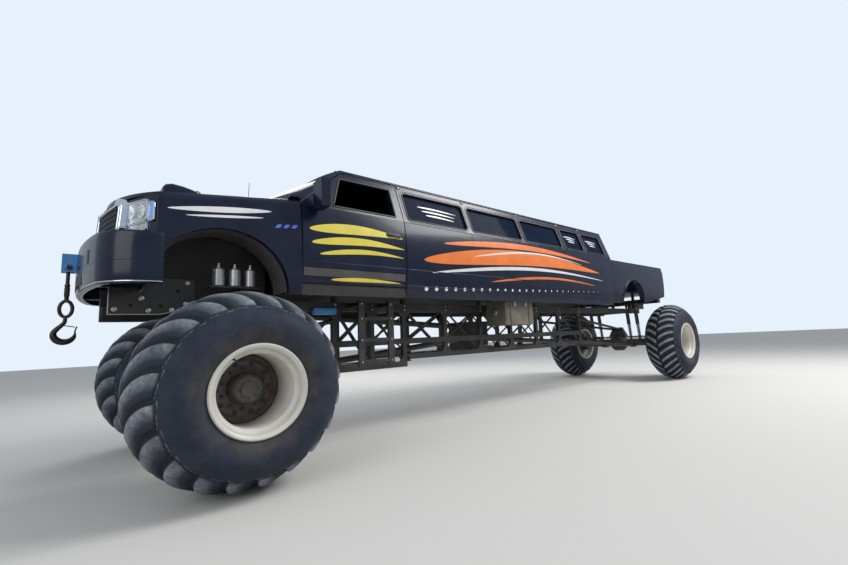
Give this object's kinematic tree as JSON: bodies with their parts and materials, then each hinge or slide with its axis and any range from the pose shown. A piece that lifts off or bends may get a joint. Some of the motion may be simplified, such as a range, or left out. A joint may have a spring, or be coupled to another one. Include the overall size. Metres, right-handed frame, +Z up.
{
  "type": "monster truck",
  "caption": "Stretched crew-cab monster truck on a trussed tube chassis, with steering axles on balloon tyres, opening doors, bonnet and tailgate, and a swinging crane hook.",
  "frame": {"origin": "on the ground under the middle of the whole truck", "axes": "+Z up, the nose towards -Y, the truck's left side at +X"},
  "size_m": [3.46, 10.0969, 2.895],
  "materials": {
    "body_paint": "gloss",
    "chassis_paint": "satin",
    "axle_paint": "satin",
    "steel": "brushed",
    "cast_metal": "matte",
    "tyre": "matte",
    "rim_paint": "gloss",
    "shock_metal": "satin",
    "tank_paint": "satin",
    "floor_paint": "matte",
    "glass": "clear",
    "lamp_lens": "clear",
    "grille_plastic": "gloss",
    "seat_leather": "soft",
    "interior_plastic": "matte",
    "bracket_paint": "gloss",
    "hook_steel": "matte"
  },
  "bodies": {
    "chassis": {"truss_left": "chassis_paint", "truss_right": "chassis_paint", "cross_members": "chassis_paint", "front_axle": "axle_paint", "rear_axle": "axle_paint", "link_bars": "chassis_paint", "shock_absorbers": "shock_metal", "driveline": "cast_metal", "tank_box": "tank_paint", "boarding_ladder": "chassis_paint", "cab_side_left": "body_paint", "cab_side_right": "body_paint", "glazing": "glass", "floor": "floor_paint", "screen_frame": "body_paint", "roof": "body_paint", "cab_back": "body_paint", "fender_left": "body_paint", "fender_right": "body_paint", "nose_panel": "grille_plastic", "lamps": "lamp_lens", "front_bumper": "body_paint", "bed": "body_paint", "rear_bumper": "chassis_paint", "seats": "seat_leather", "dashboard": "interior_plastic", "hook_bracket": "bracket_paint"},
    "front_left_knuckle": {"front_left_knuckle": "cast_metal"},
    "front_left_wheel": {"front_left_tyre": "tyre", "front_left_rim": "rim_paint"},
    "front_right_knuckle": {"front_right_knuckle": "cast_metal"},
    "front_right_wheel": {"front_right_tyre": "tyre", "front_right_rim": "rim_paint"},
    "front_tie_rod": {"front_tie_rod": "steel"},
    "front_ram_rod": {"front_ram_rod": "steel"},
    "rear_left_knuckle": {"rear_left_knuckle": "cast_metal"},
    "rear_left_wheel": {"rear_left_tyre": "tyre", "rear_left_rim": "rim_paint"},
    "rear_right_knuckle": {"rear_right_knuckle": "cast_metal"},
    "rear_right_wheel": {"rear_right_tyre": "tyre", "rear_right_rim": "rim_paint"},
    "rear_tie_rod": {"rear_tie_rod": "steel"},
    "rear_ram_rod": {"rear_ram_rod": "steel"},
    "front_door_left": {"front_door_left": "body_paint"},
    "front_door_right": {"front_door_right": "body_paint"},
    "bonnet": {"bonnet": "body_paint"},
    "tailgate": {"tailgate": "body_paint"},
    "crane_hook": {"crane_hook": "hook_steel"}
  },
  "joints": [
    {"name": "front_left_steer", "type": "hinge", "parent": "chassis", "child": "front_left_knuckle", "pos_m": [0.85, -3.9415, 0.73], "axis": [0, 0, 1], "range_deg": [-22, 22]},
    {"name": "front_left_spin", "type": "hinge", "parent": "front_left_knuckle", "child": "front_left_wheel", "pos_m": [1.25, -3.9415, 0.73], "axis": [1, 0, 0], "continuous": true},
    {"name": "front_right_steer", "type": "hinge", "parent": "chassis", "child": "front_right_knuckle", "pos_m": [-0.85, -3.9415, 0.73], "axis": [0, 0, 1], "range_deg": [-22, 22]},
    {"name": "front_right_spin", "type": "hinge", "parent": "front_right_knuckle", "child": "front_right_wheel", "pos_m": [-1.25, -3.9415, 0.73], "axis": [1, 0, 0], "continuous": true},
    {"name": "front_tie_pivot", "type": "hinge", "parent": "front_left_knuckle", "child": "front_tie_rod", "pos_m": [0.85, -4.1415, 0.848], "axis": [0, 0, 1], "range_deg": [-22, 22]},
    {"name": "front_ram_slide", "type": "slide", "parent": "chassis", "child": "front_ram_rod", "axis": [1, 0, 0], "range_m": [-0.0768, 0.0768]},
    {"name": "rear_left_steer", "type": "hinge", "parent": "chassis", "child": "rear_left_knuckle", "pos_m": [0.905, 4.2985, 0.75], "axis": [0, 0, 1], "range_deg": [-22, 22]},
    {"name": "rear_left_spin", "type": "hinge", "parent": "rear_left_knuckle", "child": "rear_left_wheel", "pos_m": [1.173, 4.2985, 0.75], "axis": [1, 0, 0], "continuous": true},
    {"name": "rear_right_steer", "type": "hinge", "parent": "chassis", "child": "rear_right_knuckle", "pos_m": [-0.905, 4.2985, 0.75], "axis": [0, 0, 1], "range_deg": [-22, 22]},
    {"name": "rear_right_spin", "type": "hinge", "parent": "rear_right_knuckle", "child": "rear_right_wheel", "pos_m": [-1.173, 4.2985, 0.75], "axis": [1, 0, 0], "continuous": true},
    {"name": "rear_tie_pivot", "type": "hinge", "parent": "rear_left_knuckle", "child": "rear_tie_rod", "pos_m": [0.905, 4.4985, 0.868], "axis": [0, 0, 1], "range_deg": [-22, 22]},
    {"name": "rear_ram_slide", "type": "slide", "parent": "chassis", "child": "rear_ram_rod", "axis": [-1, 0, 0], "range_m": [-0.0768, 0.0768]},
    {"name": "front_door_left_hinge", "type": "hinge", "parent": "chassis", "child": "front_door_left", "pos_m": [1.003, -3.3665, 2.2], "axis": [0, 0, -1], "range_deg": [0, 65]},
    {"name": "front_door_right_hinge", "type": "hinge", "parent": "chassis", "child": "front_door_right", "pos_m": [-1.003, -3.3665, 2.2], "axis": [0, 0, 1], "range_deg": [0, 65]},
    {"name": "bonnet_hinge", "type": "hinge", "parent": "chassis", "child": "bonnet", "pos_m": [0, -3.5415, 2.4], "axis": [-1, 0, 0], "range_deg": [0, 50]},
    {"name": "tailgate_hinge", "type": "hinge", "parent": "chassis", "child": "tailgate", "pos_m": [0, 4.6035, 1.805], "axis": [-1, 0, 0], "range_deg": [0, 90]},
    {"name": "hook_swing", "type": "hinge", "parent": "chassis", "child": "crane_hook", "pos_m": [0, -4.9385, 1.76], "axis": [-1, 0, 0], "range_deg": [-8, 60]}
  ],
  "couplings": [
    {"joint": "front_right_steer", "follows": "front_left_steer", "ratio": 1},
    {"joint": "front_tie_pivot", "follows": "front_left_steer", "ratio": -1},
    {"joint": "front_ram_slide", "follows": "front_left_steer", "m_per_rad": 0.2},
    {"joint": "rear_right_steer", "follows": "rear_left_steer", "ratio": 1},
    {"joint": "rear_tie_pivot", "follows": "rear_left_steer", "ratio": -1},
    {"joint": "rear_ram_slide", "follows": "rear_left_steer", "m_per_rad": 0.2}
  ]
}
